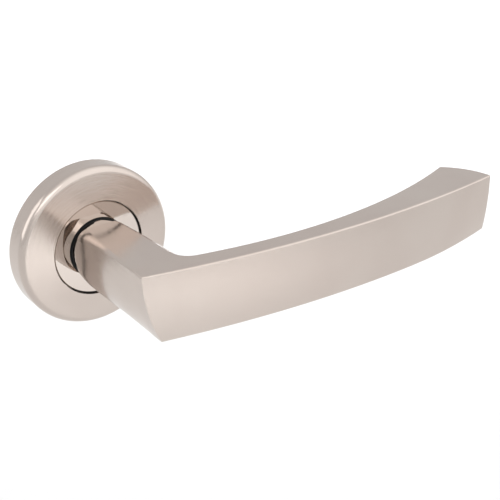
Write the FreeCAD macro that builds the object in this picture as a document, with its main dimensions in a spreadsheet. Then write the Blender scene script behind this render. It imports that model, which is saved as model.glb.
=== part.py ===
"""Door lever handle on a round rose: one sprung lever set with its square spindle.

Frame: millimetres, +Z up, +X along the lever, +Y into the door.
The origin is where the turning axis meets the door's face, so the handle stands towards -Y.
Depths are counted outwards from the door's face and are named from_door or depth.
"""
import FreeCAD, Part
import Sketcher
import math
import os

DOC = FreeCAD.newDocument("door_lever_handle")
SHEET = DOC.addObject("Spreadsheet::Sheet", "Dims")

# ---------------------------------------------------------------- driving dimensions
DIMENSIONS = {
    # rose: the round cover plate
    "rose_radius": 26.0,
    "rose_side": 5.6,
    "rose_rounding": 2.2,
    "rose_front": 8.6,
    "rose_wall": 1.2,
    "rose_inner_step": 0.2,
    "rose_hole_radius": 15.5,
    # polished ring inside the rose
    "ring_radius": 15.1,
    "ring_front": 8.0,
    "ring_flange_radius": 17.4,
    "ring_flange_back": 6.3,
    "ring_flange_front": 6.95,
    "ring_edge": 0.25,
    "gasket_front": 7.7,
    "gasket_radius": 15.32,
    "ring_hole_radius": 9.7,
    "ring_bore_radius": 10.7,
    "ring_lip_back": 7.5,
    # mounting base behind the rose
    "plate_thick": 0.8,
    "plate_radius": 23.4,
    "plate_hole_radius": 9.4,
    "base_radius": 24.2,
    "base_front": 6.3,
    "base_chamfer": 1.0,
    "base_web_back": 5.2,
    "cavity_radius": 15.9,
    "bolt_spacing": 38.0,
    "bolt_post_radius": 2.5,
    "bolt_post_head_radius": 3.4,
    "bolt_post_head": 0.9,
    "bolt_post_reach": 5.0,
    "bolt_post_skin": 1.2,
    "bolt_thread_radius": 1.65,
    "plate_screw_circle": 20.0,
    "plate_screw_radius": 1.2,
    "plate_screw_head_radius": 2.0,
    "plate_screw_end": 4.4,
    "screw_tip_gap": 0.1,
    "screw_slot_half_length": 1.6,
    "screw_slot_half_width": 0.2,
    "screw_slot_depth": 0.4,
    "seal_wire_radius": 0.85,
    "seal_outer_radius": 24.74,
    "seal_from_door": 3.2,
    # bearing of the neck
    "journal_radius": 8.0,
    "journal_end": 1.1,
    "bush_wall": 1.6,
    "bush_flange_radius": 10.45,
    "bush_front": 7.4,
    "washer_radius": 9.0,
    "shoulder_from_door": 8.25,
    "running_gap": 0.05,
    "fit_gap": 0.02,
    "clip_gap": 0.03,
    # neck and elbow of the lever
    "nose_radius": 9.2,
    "nose_root_radius": 9.9,
    "flat_height": 9.3,
    # grip of the lever
    "grip_bottom": 13.0,
    "grip_length": 125.0,
    "front_bow_radius": 370.0,
    "front_bow_apex": 79.0,
    "front_from_door": 59.9,
    "front_crown_radius": 100.0,
    "front_crown_height": 3.0,
    "back_bow_radius": 184.0,
    "back_bow_apex": 55.0,
    "back_from_door": 51.6,
    "end_radius": 22.0,
    "end_back_inset": 7.7,
    "end_rise_start": 90.0,
    "end_rise_radius": 270.0,
    "inner_corner_radius": 6.0,
    "inner_corner_start": 6.0,
    "edge_rounding": 0.5,
    # stock that the flat, the underside and the crowned front are cut from
    "flat_cut_half_width": 14.0,
    "flat_cut_depth": 3.0,
    "crown_margin": 2.0,
    "crown_stock": 12.0,
    "front_stock": 1.0,
    # spindle and its screw
    "spindle_side": 8.0,
    "socket_side": 8.05,
    "spindle_depth": 30.0,
    "spindle_reach": 19.0,
    "spindle_end_gap": 0.1,
    "spindle_chamfer": 0.6,
    "grub_from_door": 16.0,
    "grub_radius": 2.95,
    "grub_hole_radius": 3.0,
    "grub_length": 5.2,
    "grub_hex_side": 3.0,
    "grub_hex_depth": 2.4,
    # spring and stops
    "flats_half_width": 7.0,
    "cam_back": 3.2,
    "cam_front": 4.75,
    "cam_radius": 10.6,
    "cam_pilot_radius": 4.0,
    "cam_arm_reach": 15.2,
    "cam_arm_back": 3.7,
    "cam_arm_half_width": 2.5,
    "clip_back": 1.6,
    "clip_thick": 0.98,
    "clip_groove_radius": 7.4,
    "clip_radius": 9.2,
    "clip_lug_half_width": 2.6,
    "clip_lug_rise": 1.4,
    "clip_lug_root": 0.6,
    "clip_opening_half_width": 0.8,
    "retainer_radius": 10.4,
    "retainer_thick": 0.55,
    "coned_washer_thick": 0.22,
    "coned_washer_inset": 0.2,
    "spring_mean_radius": 13.2,
    "spring_wire_radius": 0.7,
    "spring_back": 0.95,
    "spring_rise": 1.3,
    "spring_leg_end": 4.7,
    "spring_leg_gap": 0.05,
    "spring_anchor_degrees": 21.0,
    "stop_pin_radius": 1.3,
    "stop_circle": 14.0,
    "stop_pin_back": 3.85,
    "stop_gap": 0.3,
    "travel_degrees": 45.0,
}


# The neck's sections, from the rose to past the elbow. Each has a bowed left side (its outermost
# reach, the height of that reach and the bow's radius), a round right side (its centre's drop and
# radius), a top and a bottom, and the radii of its two left corners. The tops and bottoms rise and
# drop past the lever's flats, which are cut afterwards.
SECTION_SIZES = ("from_door", "left_reach", "left_height", "left_radius", "right_drop", "right_radius",
                 "top", "bottom", "top_corner", "bottom_corner")
NECK_SECTIONS = {
    "root": (12.0, 10.05, 0.5, 20.0, 0.1, 10.3, 9.35, 10.1, 4.2, 9.0),
    "lower": (22.0, 10.1, 0.7, 18.0, 0.2, 10.7, 9.4, 10.8, 2.8, 7.0),
    "middle": (32.0, 9.9, 1.5, 19.0, 0.8, 11.4, 9.5, 11.8, 1.8, 5.0),
    "elbow": (40.0, 9.5, 3.6, 27.0, 1.4, 12.0, 9.6, 13.05, 1.4, 3.2),
    "end": (56.0, 9.1, 5.0, 33.0, 2.0, 12.2, 9.8, 13.7, 1.0, 2.2),
}
for section, sizes in NECK_SECTIONS.items():
    for size_name, size in zip(SECTION_SIZES, sizes):
        DIMENSIONS[f"{section}_{size_name}"] = size


def fill_sheet():
    for row, (alias, size) in enumerate(DIMENSIONS.items(), start=1):
        SHEET.set(f"A{row}", alias)
        SHEET.set(f"B{row}", str(size))
        SHEET.setAlias(f"B{row}", alias)
    DOC.recompute()


class Size:
    """A length that knows both its number and the spreadsheet formula it comes from."""

    def __init__(self, number, formula=None):
        self.number = float(number)
        self.formula = formula if formula else f"{float(number):.6f}"

    def __add__(self, other):
        other = as_size(other)
        return Size(self.number + other.number, f"({self.formula} + {other.formula})")

    def __sub__(self, other):
        other = as_size(other)
        return Size(self.number - other.number, f"({self.formula} - {other.formula})")

    def __mul__(self, other):
        other = as_size(other)
        return Size(self.number * other.number, f"({self.formula} * {other.formula})")

    def __truediv__(self, other):
        other = as_size(other)
        return Size(self.number / other.number, f"({self.formula} / {other.formula})")

    def __neg__(self):
        return Size(-self.number, f"(0 - {self.formula})")

    __radd__ = __add__
    __rmul__ = __mul__

    def __rsub__(self, other):
        return as_size(other) - self


def as_size(value):
    return value if isinstance(value, Size) else Size(value)


def root(value):
    return Size(math.sqrt(value.number), f"sqrt({value.formula})")


def dim(alias):
    return Size(DIMENSIONS[alias], f"Dims.{alias}")


# ---------------------------------------------------------------- drawing helpers
def new_body(label):
    body = DOC.addObject("PartDesign::Body", label)
    body.Label = label
    body.AllowCompound = True
    return body


def new_sketch(body, name, plane, offset=None):
    """A sketch on one of the body's own origin planes, moved along that plane's normal by offset."""
    sketch = body.newObject("Sketcher::SketchObject", name)
    support = [feature for feature in body.Origin.OriginFeatures if feature.Role == plane][0]
    sketch.AttachmentSupport = [(support, "")]
    sketch.MapMode = "FlatFace"
    if offset is not None:
        shift = FreeCAD.Vector(0, 0, offset.number)
        sketch.AttachmentOffset = FreeCAD.Placement(shift, FreeCAD.Rotation())
        sketch.setExpression("AttachmentOffset.Base.z", offset.formula)
    return sketch


def bind(sketch, constraint, name, size):
    """Add a dimensional constraint and tie it to the sheet."""
    index = sketch.addConstraint(constraint)
    sketch.renameConstraint(index, name)
    sketch.setExpression(f"Constraints.{name}", size.formula)


def outline(sketch, corners, radii=None):
    """Draw a closed outline clockwise through the corners; radii maps a side's number to its arc."""
    radii = radii or {}
    count = len(corners)
    points = [FreeCAD.Vector(across.number, up.number, 0) for across, up in corners]
    first = sketch.GeometryCount
    ends = []
    for side in range(count):
        start, finish = points[side], points[(side + 1) % count]
        if side in radii:
            radius = abs(radii[side].number)
            chord = finish - start
            middle = (start + finish) * 0.5
            inward = FreeCAD.Vector(chord.y, -chord.x, 0).normalize()
            drop = math.sqrt(max(radius ** 2 - (chord.Length / 2) ** 2, 0))
            hollow = radii[side].number < 0
            toward = inward * (-1 if hollow else 1)
            centre = middle + toward * drop
            crest = centre - toward * radius
            sketch.addGeometry(Part.Arc(start, crest, finish), False)
            ends.append((1, 2) if hollow else (2, 1))
        else:
            sketch.addGeometry(Part.LineSegment(start, finish), False)
            ends.append((1, 2))
    for side in range(count):
        after = (side + 1) % count
        sketch.addConstraint(Sketcher.Constraint("Coincident", first + side, ends[side][1],
                                                 first + after, ends[after][0]))
    for side, (across, up) in enumerate(corners):
        edge, end = first + side, ends[side][0]
        sideways = Sketcher.Constraint("DistanceX", -1, 1, edge, end, across.number)
        bind(sketch, sideways, f"across{first + side}", across)
        upwards = Sketcher.Constraint("DistanceY", -1, 1, edge, end, up.number)
        bind(sketch, upwards, f"up{first + side}", up)
    for side, radius in radii.items():
        positive = radius if radius.number > 0 else -radius
        bend = Sketcher.Constraint("Radius", first + side, positive.number)
        bind(sketch, bend, f"bend{first + side}", positive)


def circles(sketch, centres, radius):
    for across, up in centres:
        first = sketch.GeometryCount
        centre = FreeCAD.Vector(across.number, up.number, 0)
        sketch.addGeometry(Part.Circle(centre, FreeCAD.Vector(0, 0, 1), radius.number), False)
        sideways = Sketcher.Constraint("DistanceX", -1, 1, first, 3, across.number)
        bind(sketch, sideways, f"across{first}", across)
        upwards = Sketcher.Constraint("DistanceY", -1, 1, first, 3, up.number)
        bind(sketch, upwards, f"up{first}", up)
        size = Sketcher.Constraint("Radius", first, radius.number)
        bind(sketch, size, f"radius{first}", radius)


def turn(body, name, profile, radii=None):
    """Turn a solid about the Y axis from (depth from the door, radius) pairs."""
    sketch = new_sketch(body, f"{name}_profile", "YZ_Plane")
    outline(sketch, [(-as_size(depth), as_size(radius)) for depth, radius in profile], radii)
    feature = body.newObject("PartDesign::Revolution", name)
    feature.Profile = sketch
    feature.ReferenceAxis = (sketch, ["H_Axis"])
    feature.Angle = 360
    DOC.recompute()
    return feature


def pad(body, name, sketch, length, inward=False):
    feature = body.newObject("PartDesign::Pad", name)
    feature.Profile = sketch
    feature.Length = length.number
    feature.setExpression("Length", length.formula)
    feature.Reversed = inward
    DOC.recompute()
    return feature


def pocket(body, name, sketch, length, inward=False):
    """Cut a sketch's outline away and make sure that something went."""
    before = body.Shape.Volume
    feature = body.newObject("PartDesign::Pocket", name)
    feature.Profile = sketch
    feature.Length = length.number
    feature.setExpression("Length", length.formula)
    feature.Reversed = inward
    DOC.recompute()
    if body.Shape.Volume > before - 1e-3:
        raise RuntimeError(f"{name} cuts nothing")
    return feature


def rectangle(left, right, low, high):
    return [(left, high), (right, high), (right, low), (left, low)]


def polar(radius, degrees):
    """A point on the door's plane: degrees from +X towards +Z."""
    turned = math.radians(degrees)
    return radius * math.cos(turned), radius * math.sin(turned)


# ---------------------------------------------------------------- lever
def neck_section(body, section):
    """One section of the neck: a flat top, two bowed sides and a bottom-left corner."""
    left_radius = dim(f"{section}_left_radius")
    left_x = left_radius - dim(f"{section}_left_reach")
    left_z = dim(f"{section}_left_height")
    right_z = -dim(f"{section}_right_drop")
    right_radius = dim(f"{section}_right_radius")
    top = dim(f"{section}_top")
    bottom = -dim(f"{section}_bottom")
    top_corner = dim(f"{section}_top_corner")
    bottom_corner = dim(f"{section}_bottom_corner")

    def corner(height, radius):
        """The corner arc's centre, and where it meets the bowed left side."""
        reach = left_radius - radius
        rise = height - left_z
        centre_x = left_x - root(reach * reach - rise * rise)
        grow = left_radius / reach
        return centre_x, (left_x + (centre_x - left_x) * grow, left_z + rise * grow)

    def right_at(height):
        rise = height - right_z
        return root(right_radius * right_radius - rise * rise)

    top_x, top_touch = corner(top - top_corner, top_corner)
    bottom_x, bottom_touch = corner(bottom + bottom_corner, bottom_corner)
    corners = [(top_x, top), (right_at(top), top), (right_at(bottom), bottom), (bottom_x, bottom),
               bottom_touch, top_touch]
    sketch = new_sketch(body, f"section_{section}", "XZ_Plane", dim(f"{section}_from_door"))
    outline(sketch, corners, {1: right_radius, 3: bottom_corner, 4: left_radius, 5: top_corner})
    return sketch


def build_lever():
    body = new_body("lever_handle")
    gap = dim("running_gap")
    journal_radius = dim("journal_radius")
    shoulder = dim("shoulder_from_door")
    start = dim("root_from_door")

    # journal with the clip's groove, shoulder and polished nose
    clip_back = dim("clip_back") - gap
    clip_front = dim("clip_back") + dim("clip_thick") + gap
    turn(body, "journal", [
        (dim("journal_end"), 0), (dim("journal_end"), journal_radius), (clip_back, journal_radius),
        (clip_back, dim("clip_groove_radius")), (clip_front, dim("clip_groove_radius")),
        (clip_front, journal_radius), (shoulder, journal_radius), (shoulder, dim("nose_radius")),
        (start, dim("nose_root_radius")), (start, 0)])

    # neck: round-cornered at the rose, a tall D at the elbow
    sections = [neck_section(body, section) for section in NECK_SECTIONS]
    loft = body.newObject("PartDesign::AdditiveLoft", "neck")
    loft.Profile = sections[0]
    loft.Sections = sections[1:]
    loft.Ruled = False
    DOC.recompute()

    build_grip(body)

    # the top is one flat from the nose to the end of the grip
    cut_half = dim("flat_cut_half_width")
    cut_depth = dim("flat_cut_depth")
    flat = new_sketch(body, "flat_outline", "XY_Plane", dim("flat_height"))
    outline(flat, rectangle(-cut_half, cut_half, -dim("front_from_door"), -shoulder))
    pocket(body, "flat", flat, cut_depth, inward=True)

    # the elbow's underside is level with the grip's
    under = new_sketch(body, "underside_outline", "XY_Plane", -dim("grip_bottom"))
    outline(under, rectangle(-cut_half, cut_half, -dim("front_from_door"), -dim("middle_from_door")))
    pocket(body, "underside", under, cut_depth)

    # two flats that drive the cam, cut from the journal's end as far as the cam's front
    for name, side in (("left_drive_flat", -1), ("right_drive_flat", 1)):
        inner = dim("flats_half_width")
        outer = journal_radius + 1
        edges = (inner, outer) if side > 0 else (-outer, -inner)
        drive = new_sketch(body, f"{name}_outline", "XZ_Plane", dim("cam_front"))
        outline(drive, rectangle(edges[0], edges[1], -outer, outer))
        pocket(body, name, drive, dim("cam_front"))

    # square socket for the spindle, and the grub screw's hole below it
    half = dim("socket_side") / 2
    square = new_sketch(body, "socket_outline", "XZ_Plane", dim("spindle_depth"))
    outline(square, rectangle(-half, half, -half, half))
    pocket(body, "spindle_socket", square, dim("spindle_depth"))
    hole = new_sketch(body, "grub_hole_outline", "XY_Plane", -dim("grip_bottom"))
    circles(hole, [(Size(0), -dim("grub_from_door"))], dim("grub_hole_radius"))
    pocket(body, "grub_hole", hole, dim("grip_bottom"), inward=True)

    round_edges(body)
    return body


def dress_edges(body, kind, name, size, wanted):
    """Fillet or chamfer the edges that wanted() picks by their bounding box."""
    base = body.Tip
    numbered = enumerate(base.Shape.Edges, start=1)
    names = [f"Edge{number}" for number, edge in numbered if wanted(edge.BoundBox)]
    if not names:
        raise RuntimeError(f"{name} finds no edge")
    feature = body.newObject(f"PartDesign::{kind}", name)
    feature.Base = (base, names)
    feature.setExpression("Radius" if kind == "Fillet" else "Size", size.formula)
    DOC.recompute()


def round_edges(body):
    """Soften the grip's upper outline and the upright corners of its end."""
    top = DIMENSIONS["flat_height"]
    exact = 0.01
    shortest = 0.05
    grip_start = -39.0
    end_left = 110.0
    end_height = 15.0

    def grip_outline(box):
        level = box.ZLength < exact and abs(box.ZMax - top) < exact
        along = box.YMax < grip_start and box.YLength > shortest
        upright = box.XMin > end_left and box.ZLength > end_height
        return (level and along) or upright

    dress_edges(body, "Fillet", "grip_edges", dim("edge_rounding"), grip_outline)


def bow(apex, from_door, radius, along):
    """How far a bowed side stands from the door at a place along the lever."""
    offset = as_size(along) - apex
    return from_door - radius + root(radius * radius - offset * offset)


def build_grip(body):
    """The bowed bar: its plan outline, then a crowned front turned about the bow's own centre."""
    top = dim("flat_height")
    length = dim("grip_length")
    front = (dim("front_bow_apex"), dim("front_from_door"), dim("front_bow_radius"))
    back = (dim("back_bow_apex"), dim("back_from_door"), dim("back_bow_radius"))
    front_room = front[1] + dim("front_stock")
    back_end = length - dim("end_back_inset")
    # the inner corner's arc touches the neck's right side and the bowed back
    corner = dim("inner_corner_radius")
    corner_x = dim("inner_corner_start") + corner
    reach = back[2] - corner
    offset = corner_x - back[0]
    centre_depth = back[1] - back[2]
    rise = root(reach * reach - offset * offset)
    grow = back[2] / reach
    touch = (back[0] + offset * grow, -(centre_depth + rise * grow))
    corner_depth = centre_depth + rise
    plan = new_sketch(body, "grip_plan", "XY_Plane", -dim("grip_bottom"))
    outline(plan, [
        (Size(0), -corner_depth), (corner_x - corner, -corner_depth), touch,
        (back_end, -bow(*back, back_end)), (length, -front_room), (Size(0), -front_room)],
        {1: -corner, 2: -back[2], 3: dim("end_radius")})
    pad(body, "grip", plan, top + dim("grip_bottom"))

    # crowned front: everything outside the barrel goes
    centre = dim("front_bow_radius") - dim("front_from_door")
    crown = new_sketch(body, "front_crown", "YZ_Plane", dim("front_bow_apex"))
    crown.AttachmentOffset = FreeCAD.Placement(
        FreeCAD.Vector(centre.number, 0, dim("front_bow_apex").number), FreeCAD.Rotation())
    crown.setExpression("AttachmentOffset.Base.x", centre.formula)
    crown_radius = dim("front_crown_radius")
    crown_height = dim("front_crown_height")
    above = top + dim("crown_margin")
    below = -(dim("grip_bottom") + dim("crown_margin"))

    def crowned(height):
        rise = height - crown_height
        return dim("front_bow_radius") - crown_radius + root(crown_radius * crown_radius - rise * rise)

    outer = dim("front_bow_radius") + dim("crown_stock")
    outline(crown, [(crowned(above), above), (outer, above), (outer, below), (crowned(below), below)],
            {3: -crown_radius})
    before = body.Shape.Volume
    groove = body.newObject("PartDesign::Groove", "front_face")
    groove.Profile = crown
    groove.ReferenceAxis = (crown, ["V_Axis"])
    groove.Angle = 360
    DOC.recompute()
    if body.Shape.Volume > before - 1:
        raise RuntimeError("front_face cuts nothing")

    # the underside rises towards the end
    bend = dim("end_rise_radius")
    start = dim("end_rise_start")
    run = length + dim("crown_margin") - start
    rise = bend - root(bend * bend - run * run)
    low = -dim("grip_bottom")
    past_front = dim("front_from_door") + dim("crown_margin")
    risen = new_sketch(body, "end_rise_outline", "XZ_Plane", past_front)
    far = start + run
    outline(risen, [(start, low), (far, low + rise), (far, below), (start, below)], {0: -bend})
    pocket(body, "end_rise", risen, past_front)


# ---------------------------------------------------------------- pieces that turn with the lever
def build_spindle():
    body = new_body("spindle")
    half = dim("spindle_side") / 2
    square = new_sketch(body, "spindle_outline", "XZ_Plane", -dim("spindle_reach"))
    outline(square, rectangle(-half, half, -half, half))
    pad(body, "bar", square, dim("spindle_reach") + dim("spindle_depth") - dim("spindle_end_gap"))
    exact = 0.01

    def end_edges(box):
        return box.YLength < exact

    dress_edges(body, "Chamfer", "end_chamfers", dim("spindle_chamfer"), end_edges)
    return body


def build_grub_screw():
    """A cup-point set screw that stands on the spindle's lower face."""
    body = new_body("lever_grub_screw")
    tip = -(dim("spindle_side") / 2)
    seat = new_sketch(body, "shank_outline", "XY_Plane", tip)
    circles(seat, [(Size(0), -dim("grub_from_door"))], dim("grub_radius"))
    pad(body, "shank", seat, dim("grub_length"), inward=True)
    hexagon = new_sketch(body, "hex_outline", "XY_Plane", tip - dim("grub_length"))
    across = dim("grub_hex_side") / math.sqrt(3)
    points = []
    for corner in range(6):
        east, north = polar(1.0, 60 - 60 * corner)
        points.append((across * east, across * north - dim("grub_from_door")))
    outline(hexagon, points)
    pocket(body, "hex_socket", hexagon, dim("grub_hex_depth"), inward=True)
    return body


def flatted_hole(body, name, back, front):
    """The cam's hole: the journal's circle with its two flats, a running gap larger."""
    gap = dim("fit_gap")
    radius = dim("journal_radius") + gap
    half = dim("flats_half_width") + gap
    height = root(radius * radius - half * half)
    sketch = new_sketch(body, f"{name}_outline", "XZ_Plane", front)
    outline(sketch, [(-half, height), (half, height), (half, -height), (-half, -height)],
            {0: radius, 2: radius})
    pocket(body, name, sketch, front - back)


def build_spring_cam():
    """The driver ring on the journal's flats, with the arm that loads the spring and meets the stops."""
    body = new_body("spring_cam")
    back = dim("cam_back")
    front = dim("cam_front")
    pilot = dim("cam_pilot_radius")
    radius = dim("cam_radius")
    turn(body, "hub", [(back, pilot), (back, radius), (front, radius), (front, pilot)])
    half = dim("cam_arm_half_width")
    arm = new_sketch(body, "arm_outline", "XZ_Plane", dim("cam_arm_back"))
    outline(arm, rectangle(-half, half, -dim("cam_arm_reach"), -dim("cam_radius") + 1))
    pad(body, "arm", arm, front - dim("cam_arm_back"))
    flatted_hole(body, "drive_hole", back, front)
    return body


def build_retainer():
    body = new_body("retaining_washer")
    back = dim("clip_back") + dim("clip_thick") + dim("fit_gap")
    inner = dim("journal_radius") + dim("clip_gap")
    turn(body, "washer", [(back, inner), (back, dim("retainer_radius")),
                          (back + dim("retainer_thick"), dim("retainer_radius")),
                          (back + dim("retainer_thick"), inner)])
    return body


def build_circlip():
    """The open clip in the journal's groove, with two lugs and a gap at the top."""
    body = new_body("circlip")
    back = dim("clip_back")
    front = back + dim("clip_thick")
    inner = dim("clip_groove_radius") + dim("clip_gap")
    turn(body, "ring", [(back, inner), (back, dim("clip_radius")), (front, dim("clip_radius")),
                        (front, inner)])
    lugs = new_sketch(body, "lug_outline", "XZ_Plane", back)
    lug_half = dim("clip_lug_half_width")
    outline(lugs, rectangle(-lug_half, lug_half, dim("clip_radius") - dim("clip_lug_root"),
                            dim("clip_radius") + dim("clip_lug_rise")))
    pad(body, "lugs", lugs, dim("clip_thick"))
    opening = new_sketch(body, "gap_outline", "XZ_Plane", front)
    half = dim("clip_opening_half_width")
    outline(opening, rectangle(-half, half, inner - 1, dim("clip_radius") + dim("clip_lug_rise") + 1))
    pocket(body, "gap", opening, dim("clip_thick"))
    return body


# ---------------------------------------------------------------- cover that slides along the neck
def build_rose_cover():
    """The round cover plate: a turned shell with a rounded rim and a slightly domed face."""
    body = new_body("rose_cover")
    wall = dim("rose_wall")
    outer = dim("rose_radius")
    hole = dim("rose_hole_radius")
    rounding = dim("rose_rounding")
    side = dim("rose_side")
    front = dim("rose_front")
    shoulder = side + rounding
    profile = [(0, outer), (side, outer), (shoulder, outer - rounding), (front, hole), (front - wall, hole),
               (shoulder - wall, outer - rounding), (side - dim("rose_inner_step"), outer - wall),
               (0, outer - wall)]
    turn(body, "shell", profile, {1: -rounding})
    return body


def build_polished_ring():
    """The polished collar in the cover's hole: a stepped ring on the base's front, with a foot flange."""
    body = new_body("polished_ring")
    hole = dim("ring_hole_radius")
    bore = dim("ring_bore_radius")
    front = dim("ring_front")
    back = dim("ring_flange_back")
    flange_front = dim("ring_flange_front")
    flange = dim("ring_flange_radius")
    lip_back = dim("ring_lip_back")
    radius = dim("ring_radius")
    edge = dim("ring_edge")
    turn(body, "collar", [
        (back, bore), (back, flange), (flange_front, flange), (flange_front, radius), (front - edge, radius),
        (front, radius - edge), (front, hole + edge), (front - edge, hole), (lip_back, hole),
        (lip_back, bore)])
    return body


def build_gasket():
    """The thin black gasket round the collar, just inside the cover's hole."""
    body = new_body("ring_gasket")
    gap = dim("fit_gap")
    back = dim("ring_flange_front") + gap
    front = dim("gasket_front")
    inner = dim("ring_radius") + gap
    outer = dim("gasket_radius")
    turn(body, "gasket", [(back, inner), (back, outer), (front, outer), (front, inner)])
    return body


# ---------------------------------------------------------------- pieces fixed to the door
def post_centres():
    half = dim("bolt_spacing") / 2
    return [(Size(0), half), (Size(0), -half)]


def screw_centres():
    return [tuple(dim("plate_screw_circle") * part for part in polar(1.0, 45 + 90 * number))
            for number in range(4)]


def stop_centres():
    """The rest stop and the travel stop, either side of the arm's swing."""
    circle = DIMENSIONS["stop_circle"]
    clear = DIMENSIONS["cam_arm_half_width"] + DIMENSIONS["stop_pin_radius"] + DIMENSIONS["stop_gap"]
    lean = math.degrees(math.asin(clear / circle))
    angles = (-90 + lean, -90 - DIMENSIONS["travel_degrees"] - lean)
    return [tuple(dim("stop_circle") * part for part in polar(1.0, angle)) for angle in angles]


def build_back_plate():
    body = new_body("back_plate")
    thick = dim("plate_thick")
    turn(body, "disc", [(0, dim("plate_hole_radius")), (0, dim("plate_radius")),
                        (thick, dim("plate_radius")), (thick, dim("plate_hole_radius"))])
    posts = new_sketch(body, "post_hole_outlines", "XZ_Plane", thick)
    circles(posts, post_centres(), dim("bolt_post_radius"))
    pocket(body, "post_holes", posts, thick)
    screws = new_sketch(body, "screw_hole_outlines", "XZ_Plane", thick)
    circles(screws, screw_centres(), dim("plate_screw_head_radius"))
    pocket(body, "screw_holes", screws, thick)
    return body


def build_mounting_base():
    """The die-cast base: a cup over the spring, with a bearing hole in its web."""
    body = new_body("mounting_base")
    back = dim("plate_thick")
    front = dim("base_front")
    bearing = dim("journal_radius") + dim("bush_wall")
    radius = dim("base_radius")
    groove_half = dim("seal_wire_radius")
    seal = dim("seal_from_door")
    groove_floor = dim("seal_outer_radius") - dim("seal_wire_radius") * 2
    chamfer = dim("base_chamfer")
    turn(body, "cup", [
        (back, dim("cavity_radius")), (back, radius), (seal - groove_half, radius),
        (seal - groove_half, groove_floor), (seal + groove_half, groove_floor),
        (seal + groove_half, radius), (front - chamfer, radius), (front, radius - chamfer), (front, bearing),
        (dim("base_web_back"), bearing), (dim("base_web_back"), dim("cavity_radius"))])
    posts = new_sketch(body, "post_hole_outlines", "XZ_Plane", front)
    circles(posts, post_centres(), dim("bolt_post_radius"))
    pocket(body, "post_holes", posts, front)
    heads = new_sketch(body, "post_head_outlines", "XZ_Plane", front)
    circles(heads, post_centres(), dim("bolt_post_head_radius"))
    pocket(body, "post_head_seats", heads, dim("bolt_post_head"))
    screws = new_sketch(body, "screw_hole_outlines", "XZ_Plane", dim("plate_screw_end"))
    circles(screws, screw_centres(), dim("plate_screw_radius"))
    pocket(body, "screw_holes", screws, dim("plate_screw_end"))
    pins = new_sketch(body, "pin_hole_outlines", "XZ_Plane", front)
    circles(pins, stop_centres(), dim("stop_pin_radius"))
    pocket(body, "pin_holes", pins, front - dim("base_web_back"))
    return body


def build_bush():
    """The nylon bearing of the neck: a sleeve through the base's web, with a flange in front."""
    body = new_body("neck_bush")
    inner = dim("journal_radius") + dim("running_gap")
    outer = dim("journal_radius") + dim("bush_wall")
    front = dim("bush_front")
    turn(body, "bearing", [(dim("base_web_back"), inner), (dim("base_web_back"), outer),
                           (dim("base_front"), outer), (dim("base_front"), dim("bush_flange_radius")),
                           (front, dim("bush_flange_radius")), (front, inner)])
    return body


def build_thrust_washer():
    body = new_body("thrust_washer")
    inner = dim("journal_radius") + dim("running_gap")
    back = dim("bush_front")
    front = dim("shoulder_from_door") - dim("running_gap")
    turn(body, "washer", [(back, inner), (back, dim("washer_radius")), (front, dim("washer_radius")),
                          (front, inner)])
    return body


def build_spring_washer():
    """The coned washer between the base's web and the cam, which takes up end play."""
    body = new_body("coned_washer")
    inner = dim("journal_radius") + dim("running_gap") * 2
    back = dim("cam_front") + dim("running_gap")
    front = dim("base_web_back")
    thick = dim("coned_washer_thick")
    outer = dim("cam_radius") - dim("coned_washer_inset")
    turn(body, "cone", [(front - thick, inner), (back, outer), (back + thick, outer), (front, inner)])
    return body


def build_stop_pins():
    body = new_body("stop_pins")
    back = dim("stop_pin_back")
    ends = new_sketch(body, "pin_outlines", "XZ_Plane", back)
    circles(ends, stop_centres(), dim("stop_pin_radius"))
    pad(body, "pins", ends, dim("base_front") - back)
    return body


def build_bolt_posts():
    """Two internally threaded posts that the through-bolts draw up from the door's other side."""
    body = new_body("bolt_posts")
    reach = dim("bolt_post_reach")
    front = dim("base_front")
    shanks = new_sketch(body, "shank_outlines", "XZ_Plane", -reach)
    circles(shanks, post_centres(), dim("bolt_post_radius"))
    pad(body, "shanks", shanks, reach + front)
    heads = new_sketch(body, "head_outlines", "XZ_Plane", front - dim("bolt_post_head"))
    circles(heads, post_centres(), dim("bolt_post_head_radius"))
    pad(body, "heads", heads, dim("bolt_post_head"))
    bore_end = front - dim("bolt_post_skin")
    bores = new_sketch(body, "bore_outlines", "XZ_Plane", bore_end)
    circles(bores, post_centres(), dim("bolt_thread_radius"))
    pocket(body, "threaded_bores", bores, bore_end + reach)
    return body


def build_plate_screws():
    body = new_body("back_plate_screws")
    shanks = new_sketch(body, "shank_outlines", "XZ_Plane")
    circles(shanks, screw_centres(), dim("plate_screw_radius"))
    pad(body, "shanks", shanks, dim("plate_screw_end") - dim("screw_tip_gap"))
    heads = new_sketch(body, "head_outlines", "XZ_Plane")
    circles(heads, screw_centres(), dim("plate_screw_head_radius"))
    pad(body, "heads", heads, dim("plate_thick"))
    depth = dim("screw_slot_depth")
    length = dim("screw_slot_half_length")
    width = dim("screw_slot_half_width")
    slots = new_sketch(body, "slot_outlines", "XZ_Plane", depth)
    for across, up in screw_centres():
        outline(slots, rectangle(across - length, across + length, up - width, up + width))
    pocket(body, "slots", slots, depth)
    return body


def build_seal():
    """The rubber ring in the base's rim groove that grips the cover."""
    ring = DOC.addObject("Part::Torus", "cover_grip_ring")
    ring.Label = "cover_grip_ring"
    wire = dim("seal_wire_radius")
    middle = dim("seal_outer_radius") - wire
    ring.setExpression("Radius1", middle.formula)
    ring.setExpression("Radius2", (wire - dim("fit_gap")).formula)
    ring.Placement = FreeCAD.Placement(FreeCAD.Vector(0, -DIMENSIONS["seal_from_door"], 0),
                                       FreeCAD.Rotation(FreeCAD.Vector(1, 0, 0), 90))
    ring.setExpression("Placement.Base.y", (-dim("seal_from_door")).formula)
    DOC.recompute()
    return ring


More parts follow.
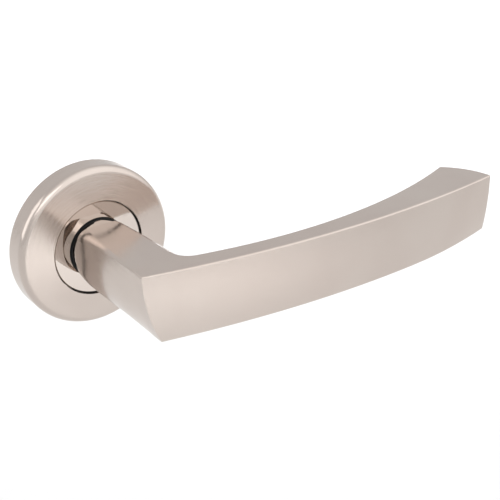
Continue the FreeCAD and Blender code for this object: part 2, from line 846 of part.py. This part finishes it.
def build_return_spring():
    """One open coil of round wire with a leg at each end: against the cam's arm, and by the rest stop."""
    radius = DIMENSIONS["spring_mean_radius"]
    wire = DIMENSIONS["spring_wire_radius"]
    back = -(DIMENSIONS["spring_back"] + wire)
    leg_end = -DIMENSIONS["spring_leg_end"]
    arm_side = DIMENSIONS["cam_arm_half_width"] + wire + DIMENSIONS["spring_leg_gap"]
    arm = math.degrees(math.asin(arm_side / radius))
    start = -90 + arm + DIMENSIONS["spring_anchor_degrees"]
    finish = 270 - arm
    rise = DIMENSIONS["spring_rise"]
    turn_degrees = finish - start

    def at(degrees, depth):
        across, up = polar(radius, degrees)
        return FreeCAD.Vector(across, depth, up)

    count = 24
    coil_points = [at(start + turn_degrees * step / count, back - rise * step / count)
                   for step in range(count + 1)]
    coil = Part.BSplineCurve()
    coil.interpolate(coil_points)
    coil_edge = coil.toShape()
    section = Part.Wire(Part.Circle(coil_points[0], coil.tangent(coil.FirstParameter)[0], wire).toShape())
    tube = Part.Wire(coil_edge).makePipeShell([section], True, False)
    fixed_length = coil_points[0].y - leg_end
    fixed_leg = Part.makeCylinder(wire, fixed_length, coil_points[0], FreeCAD.Vector(0, -1, 0))
    moving_leg = Part.makeCylinder(wire, coil_points[-1].y - leg_end, coil_points[-1],
                                   FreeCAD.Vector(0, -1, 0))
    spring = DOC.addObject("Part::Feature", "return_spring")
    spring.Label = "return_spring"
    shape = tube.fuse([fixed_leg, moving_leg, Part.makeSphere(wire, coil_points[0]),
                       Part.makeSphere(wire, coil_points[-1])])
    spring.Shape = shape.removeSplitter()
    spring.Placement = FreeCAD.Placement()
    return spring


BUILDERS = (
    build_lever, build_spindle, build_grub_screw, build_spring_cam, build_retainer, build_circlip,
    build_rose_cover, build_polished_ring, build_gasket,
    build_back_plate, build_mounting_base, build_bush, build_thrust_washer, build_spring_washer,
    build_stop_pins, build_bolt_posts, build_plate_screws, build_seal, build_return_spring,
)


def check_and_export(pieces):
    for item in DOC.Objects:
        bad = [state for state in item.State if state in ("Invalid", "Error")]
        if bad:
            raise RuntimeError(f"{item.Name} is {bad}")
    for piece in pieces:
        if piece.Shape.isNull() or not piece.Shape.isValid():
            raise RuntimeError(f"{piece.Label} has no valid shape")
    os.makedirs("parts", exist_ok=True)
    for piece in pieces:
        piece.Shape.exportStep(f"parts/{piece.Label}.step")
        print(f"{piece.Label}: {len(piece.Shape.Solids)} solids, {piece.Shape.Volume:.1f} mm3")


fill_sheet()
built = [builder() for builder in BUILDERS]
DOC.recompute()
check_and_export(built)
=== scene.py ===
import math

import bpy
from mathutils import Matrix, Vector

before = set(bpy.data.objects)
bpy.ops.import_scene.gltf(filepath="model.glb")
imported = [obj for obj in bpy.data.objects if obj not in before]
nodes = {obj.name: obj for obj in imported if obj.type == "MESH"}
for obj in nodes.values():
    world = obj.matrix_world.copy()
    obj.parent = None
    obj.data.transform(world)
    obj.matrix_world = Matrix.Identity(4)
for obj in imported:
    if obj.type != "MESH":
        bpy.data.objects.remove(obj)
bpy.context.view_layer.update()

# ---------------------------------------------------------------- node helpers

BUMP_DEPTH = 0.0002  # metres from the lowest to the highest point of any grain


class Graph:
    """A material's node tree, with short calls for the nodes that this scene uses."""

    def __init__(self, name):
        self.material = bpy.data.materials.new(name)
        self.material.use_nodes = True
        self.tree = self.material.node_tree
        self.tree.nodes.clear()
        self.shader = self.node("ShaderNodeBsdfPrincipled")
        output = self.node("ShaderNodeOutputMaterial")
        self.link(self.shader.outputs[0], output.inputs["Surface"])
        self.place = self.node("ShaderNodeTexCoord").outputs["Object"]

    def node(self, kind, **settings):
        made = self.tree.nodes.new(kind)
        for name, value in settings.items():
            setattr(made, name, value)
        return made

    def link(self, source, target):
        self.tree.links.new(source, target)

    def feed(self, socket, value):
        """Gives a socket a value: another socket's output, or a number or colour."""
        if isinstance(value, bpy.types.NodeSocket):
            self.link(value, socket)
        else:
            socket.default_value = value

    def maths(self, operation, a, b=0.0):
        made = self.node("ShaderNodeMath", operation=operation)
        self.feed(made.inputs[0], a)
        self.feed(made.inputs[1], b)
        return made.outputs[0]

    def split(self, vector):
        made = self.node("ShaderNodeSeparateXYZ")
        self.link(vector, made.inputs[0])
        return made.outputs

    def join(self, x, y, z):
        made = self.node("ShaderNodeCombineXYZ")
        for socket, value in zip(made.inputs, (x, y, z)):
            self.feed(socket, value)
        return made.outputs[0]

    def stretch(self, vector, scale):
        made = self.node("ShaderNodeVectorMath", operation="MULTIPLY")
        self.link(vector, made.inputs[0])
        made.inputs[1].default_value = scale
        return made.outputs[0]

    def noise(self, vector, scale=1.0, detail=2.0):
        made = self.node("ShaderNodeTexNoise")
        self.link(vector, made.inputs["Vector"])
        made.inputs["Scale"].default_value = scale
        made.inputs["Detail"].default_value = detail
        return made.outputs["Fac"]

    def ramp(self, value, low, high, start=0.0, end=1.0):
        """Maps value from start..end to low..high, held at both ends."""
        made = self.node("ShaderNodeMapRange")
        self.feed(made.inputs["Value"], value)
        made.inputs["From Min"].default_value = start
        made.inputs["From Max"].default_value = end
        made.inputs["To Min"].default_value = low
        made.inputs["To Max"].default_value = high
        return made.outputs["Result"]

    def blend(self, share, a, b):
        made = self.node("ShaderNodeMix", data_type="RGBA")
        self.feed(made.inputs["Factor"], share)
        self.feed(made.inputs[6], a)
        self.feed(made.inputs[7], b)
        return made.outputs[2]

    def mix(self, share, a, b):
        made = self.node("ShaderNodeMix", data_type="FLOAT")
        self.feed(made.inputs["Factor"], share)
        self.feed(made.inputs[2], a)
        self.feed(made.inputs[3], b)
        return made.outputs[0]

    def bump(self, height, strength):
        made = self.node("ShaderNodeBump")
        made.inputs["Strength"].default_value = strength
        made.inputs["Distance"].default_value = BUMP_DEPTH
        self.link(height, made.inputs["Height"])
        return made.outputs["Normal"]

    def set(self, **values):
        """Sets the shader's sockets, named with _ for each space."""
        for name, value in values.items():
            self.feed(self.shader.inputs[name.replace("_", " ")], value)


def polar(g):
    """Distance from the lever's axis, the angle round it and the depth, as one vector."""
    x, y, z = g.split(g.place)
    radius = g.maths("SQRT", g.maths("ADD", g.maths("MULTIPLY", x, x), g.maths("MULTIPLY", z, z)))
    angle = g.maths("ARCTAN2", z, x)
    return g.join(radius, angle, y)


def around(g):
    """The direction round the lever's axis."""
    x, _, z = g.split(g.place)
    return g.join(g.maths("MULTIPLY", z, -1.0), 0.0, x)


# ------------------------------------------------------------------- materials

NICKEL = (0.595, 0.525, 0.478, 1.0)
NICKEL_DEEP = (0.570, 0.495, 0.450, 1.0)
POLISHED_NICKEL = (0.61, 0.545, 0.50, 1.0)
POLISHED_NICKEL_DEEP = (0.58, 0.515, 0.47, 1.0)

# Where the brushing turns and where the polished nose ends, in metres along the axis.
GRIP_BRUSHING = -0.046
NECK_BRUSHING = -0.040
NOSE_END = -0.012
NOSE_BLEND = 0.0001

# How often the brushed lines change, per metre, across them and along them.
LINES_ACROSS = 3400.0
LINES_ALONG_GRIP = 45.0
LINES_ALONG_NECK = 60.0
RINGS_ACROSS = 3600.0
RINGS_ALONG = 4.0
CLOUDS = 45.0

# A quarter turn, so that the reflections spread across the brushed lines.
QUARTER_TURN = 0.25


def satin_lever():
    g = Graph("satin_nickel_lever")
    depth = g.split(g.place)[1]
    # The neck is brushed towards the door and the grip along its own length.
    on_neck = g.ramp(depth, 0.0, 1.0, GRIP_BRUSHING, NECK_BRUSHING)
    along_grip = (LINES_ALONG_GRIP, LINES_ACROSS, LINES_ACROSS)
    along_neck = (LINES_ACROSS, LINES_ALONG_NECK, LINES_ACROSS)
    grip_lines = g.noise(g.stretch(g.place, along_grip), detail=3.0)
    neck_lines = g.noise(g.stretch(g.place, along_neck), detail=3.0)
    lines = g.mix(on_neck, grip_lines, neck_lines)
    clouds = g.noise(g.place, scale=CLOUDS, detail=4.0)
    satin = g.blend(g.ramp(clouds, 0.0, 1.0, 0.35, 0.65), NICKEL, NICKEL_DEEP)
    # The nose that turns in the polished ring is polished too.
    on_nose = g.ramp(depth, 0.0, 1.0, NOSE_END - NOSE_BLEND, NOSE_END + NOSE_BLEND)
    g.set(
        Metallic=1.0,
        Anisotropic=0.75,
        Anisotropic_Rotation=QUARTER_TURN,
        Base_Color=g.blend(on_nose, satin, POLISHED_NICKEL),
        Roughness=g.mix(on_nose, g.ramp(lines, 0.17, 0.27, 0.3, 0.7), 0.05),
        Normal=g.bump(lines, 0.15),
        Tangent=g.join(g.maths("SUBTRACT", 1.0, on_neck), on_neck, 0.0),
    )
    return g.material


def satin_rose():
    g = Graph("satin_nickel_rose")
    lines = g.noise(g.stretch(polar(g), (RINGS_ACROSS, RINGS_ALONG, RINGS_ACROSS)), detail=3.0)
    clouds = g.noise(g.place, scale=CLOUDS, detail=4.0)
    g.set(
        Metallic=1.0,
        Anisotropic=0.8,
        Anisotropic_Rotation=QUARTER_TURN,
        Base_Color=g.blend(g.ramp(clouds, 0.0, 1.0, 0.35, 0.65), NICKEL, NICKEL_DEEP),
        Roughness=g.ramp(lines, 0.14, 0.24, 0.3, 0.7),
        Normal=g.bump(lines, 0.12),
        Tangent=around(g),
    )
    return g.material


def metal(name, colours, roughness, clouds, grain, bump):
    """A plain metal with cloudy colour and a fine grain."""
    g = Graph(name)
    clouds = g.noise(g.place, scale=clouds, detail=4.0)
    fine = g.noise(g.place, scale=grain, detail=3.0)
    g.set(
        Metallic=1.0,
        Base_Color=g.blend(g.ramp(clouds, 0.0, 1.0, 0.3, 0.7), *colours),
        Roughness=g.ramp(g.mix(0.5, clouds, fine), *roughness, 0.3, 0.7),
        Normal=g.bump(fine, bump),
    )
    return g.material


def plastic(name, colours, roughness, grain, bump):
    """A dark plastic or rubber with a fine grain."""
    g = Graph(name)
    fine = g.noise(g.place, scale=grain, detail=3.0)
    clouds = g.noise(g.place, scale=120.0, detail=2.0)
    g.set(
        Base_Color=g.blend(clouds, *colours),
        Roughness=g.ramp(fine, *roughness, 0.3, 0.7),
        Normal=g.bump(fine, bump),
    )
    return g.material


satin_on_lever = satin_lever()
satin_on_rose = satin_rose()
polished = metal(
    "polished_nickel", (POLISHED_NICKEL, POLISHED_NICKEL_DEEP), (0.03, 0.07),
    clouds=90.0, grain=700.0, bump=0.01)
casting = metal(
    "zinc_casting", ((0.42, 0.43, 0.45, 1), (0.33, 0.34, 0.36, 1)), (0.38, 0.6),
    clouds=140.0, grain=1400.0, bump=0.35)
plating = metal(
    "zinc_plated_steel", ((0.60, 0.62, 0.66, 1), (0.50, 0.53, 0.58, 1)), (0.24, 0.4),
    clouds=260.0, grain=1800.0, bump=0.12)
hardened = metal(
    "hardened_steel", ((0.30, 0.30, 0.31, 1), (0.22, 0.22, 0.24, 1)), (0.26, 0.42),
    clouds=200.0, grain=2000.0, bump=0.12)
nylon = plastic(
    "black_nylon", ((0.018, 0.018, 0.019, 1), (0.026, 0.026, 0.028, 1)), (0.38, 0.55),
    grain=1500.0, bump=0.15)
rubber = plastic(
    "black_rubber", ((0.014, 0.014, 0.014, 1), (0.022, 0.022, 0.022, 1)), (0.6, 0.8),
    grain=1100.0, bump=0.3)

FINISHES = {
    "lever_handle": satin_on_lever,
    "rose_cover": satin_on_rose,
    "polished_ring": polished,
    "mounting_base": casting,
    "back_plate": plating,
    "back_plate_screws": plating,
    "bolt_posts": plating,
    "spindle": plating,
    "spring_cam": plating,
    "retaining_washer": plating,
    "stop_pins": hardened,
    "lever_grub_screw": hardened,
    "circlip": hardened,
    "coned_washer": hardened,
    "return_spring": hardened,
    "neck_bush": nylon,
    # Painted shade: the washer is black so that it stands in for the shadow in the gap at the
    # neck root.
    "thrust_washer": nylon,
    "cover_grip_ring": rubber,
    # Painted shade: the black gasket fills the gap round the polished ring and stands in for the
    # shadow there.
    "ring_gasket": rubber,
}
for name, finish in FINISHES.items():
    materials = nodes[name].data.materials
    for index in range(len(materials)):
        materials[index] = finish

# ----------------------------------------------------------------------- stage

FLOOR_SIZE = 12.0
FLOOR_HEIGHT = -0.30
FLOOR_COLOURS = (0.86, 0.86, 0.86, 1), (0.84, 0.84, 0.84, 1)

bpy.ops.mesh.primitive_plane_add(size=FLOOR_SIZE, location=(0.0, 0.0, FLOOR_HEIGHT))
floor = bpy.context.object
floor.name = "floor"
g = Graph("pale_floor")
g.set(
    Base_Color=g.blend(g.noise(g.place, scale=3.0), *FLOOR_COLOURS),
    Roughness=0.9,
)
floor.data.materials.append(g.material)

# The sky is even, and rises to its brightest towards the front right.
SKY_DIM = 0.76
SKY_BRIGHT = 1.45
SKY_TOWARDS = Vector((0.47, -0.70, 0.54))
RISE_START = 0.25
RISE_END = 0.95
world = bpy.data.worlds.new("studio")
bpy.context.scene.world = world
world.use_nodes = True
sky = world.node_tree
background = sky.nodes["Background"]
background.inputs["Color"].default_value = (1.0, 1.0, 1.0, 1.0)
direction = sky.nodes.new("ShaderNodeTexCoord").outputs["Generated"]
towards = sky.nodes.new("ShaderNodeVectorMath")
towards.operation = "DOT_PRODUCT"
towards.inputs[1].default_value = SKY_TOWARDS
sky.links.new(direction, towards.inputs[0])
glow = sky.nodes.new("ShaderNodeMapRange")
glow.interpolation_type = "SMOOTHSTEP"
glow.inputs["From Min"].default_value = RISE_START
glow.inputs["From Max"].default_value = RISE_END
glow.inputs["To Min"].default_value = SKY_DIM
glow.inputs["To Max"].default_value = SKY_BRIGHT
sky.links.new(towards.outputs["Value"], glow.inputs["Value"])
sky.links.new(glow.outputs[0], background.inputs["Strength"])


def softbox(name, place, aim, size, glow):
    """A square studio light whose face has the brightness glow."""
    light = bpy.data.lights.new(name, "AREA")
    light.shape = "SQUARE"
    light.size = size
    light.energy = glow * math.pi * size * size
    lamp = bpy.data.objects.new(name, light)
    bpy.context.collection.objects.link(lamp)
    lamp.location = place
    lamp.rotation_euler = (Vector(aim) - Vector(place)).to_track_quat("-Z", "Y").to_euler()
    lamp.visible_camera = False
    return lamp


HANDLE = (0.0, -0.03, 0.0)
FLOOR_SPREAD = math.radians(100.0)

# Two large dim panels that the metal reflects, to the left in front and at the left.
for name, place, size, strength in (
    ("key", (-0.62, -1.00, 0.95), 0.8, 1.1),
    ("left_panel", (-1.10, 0.35, 0.62), 1.1, 1.0),
):
    softbox(name, place, HANDLE, size, strength).visible_diffuse = False
# These only light the floor: behind the handle, and in front of it.
for name, place, aim, size, strength in (
    ("floor_back", (1.20, 1.50, 1.60), (1.10, 1.35, FLOOR_HEIGHT), 1.0, 4.0),
    ("floor_front", (0.12, -0.70, 0.10), (0.12, -0.70, FLOOR_HEIGHT), 0.4, 1.3),
):
    lamp = softbox(name, place, aim, size, strength)
    lamp.visible_glossy = False
    lamp.data.spread = FLOOR_SPREAD

# ---------------------------------------------------------------------- camera

AZIMUTH = math.radians(37.29)
ELEVATION = math.radians(26.66)
DISTANCE = 0.35854
AIM = Vector((0.06224, 0.0, -0.027))
SENSOR = 36.0
LENS = 71.17
SHIFT = (0.0156, 0.0223)

camera = bpy.data.objects.new("camera", bpy.data.cameras.new("camera"))
bpy.context.collection.objects.link(camera)
view = Vector((
    math.sin(AZIMUTH) * math.cos(ELEVATION),
    math.cos(AZIMUTH) * math.cos(ELEVATION),
    -math.sin(ELEVATION),
))
camera.location = AIM - view * DISTANCE
camera.rotation_euler = (math.pi / 2 - ELEVATION, 0.0, -AZIMUTH)
camera.data.sensor_width = SENSOR
camera.data.lens = LENS
camera.data.shift_x, camera.data.shift_y = SHIFT
camera.data.clip_start = 0.01
bpy.context.scene.camera = camera
bpy.context.scene.view_settings.view_transform = "Standard"
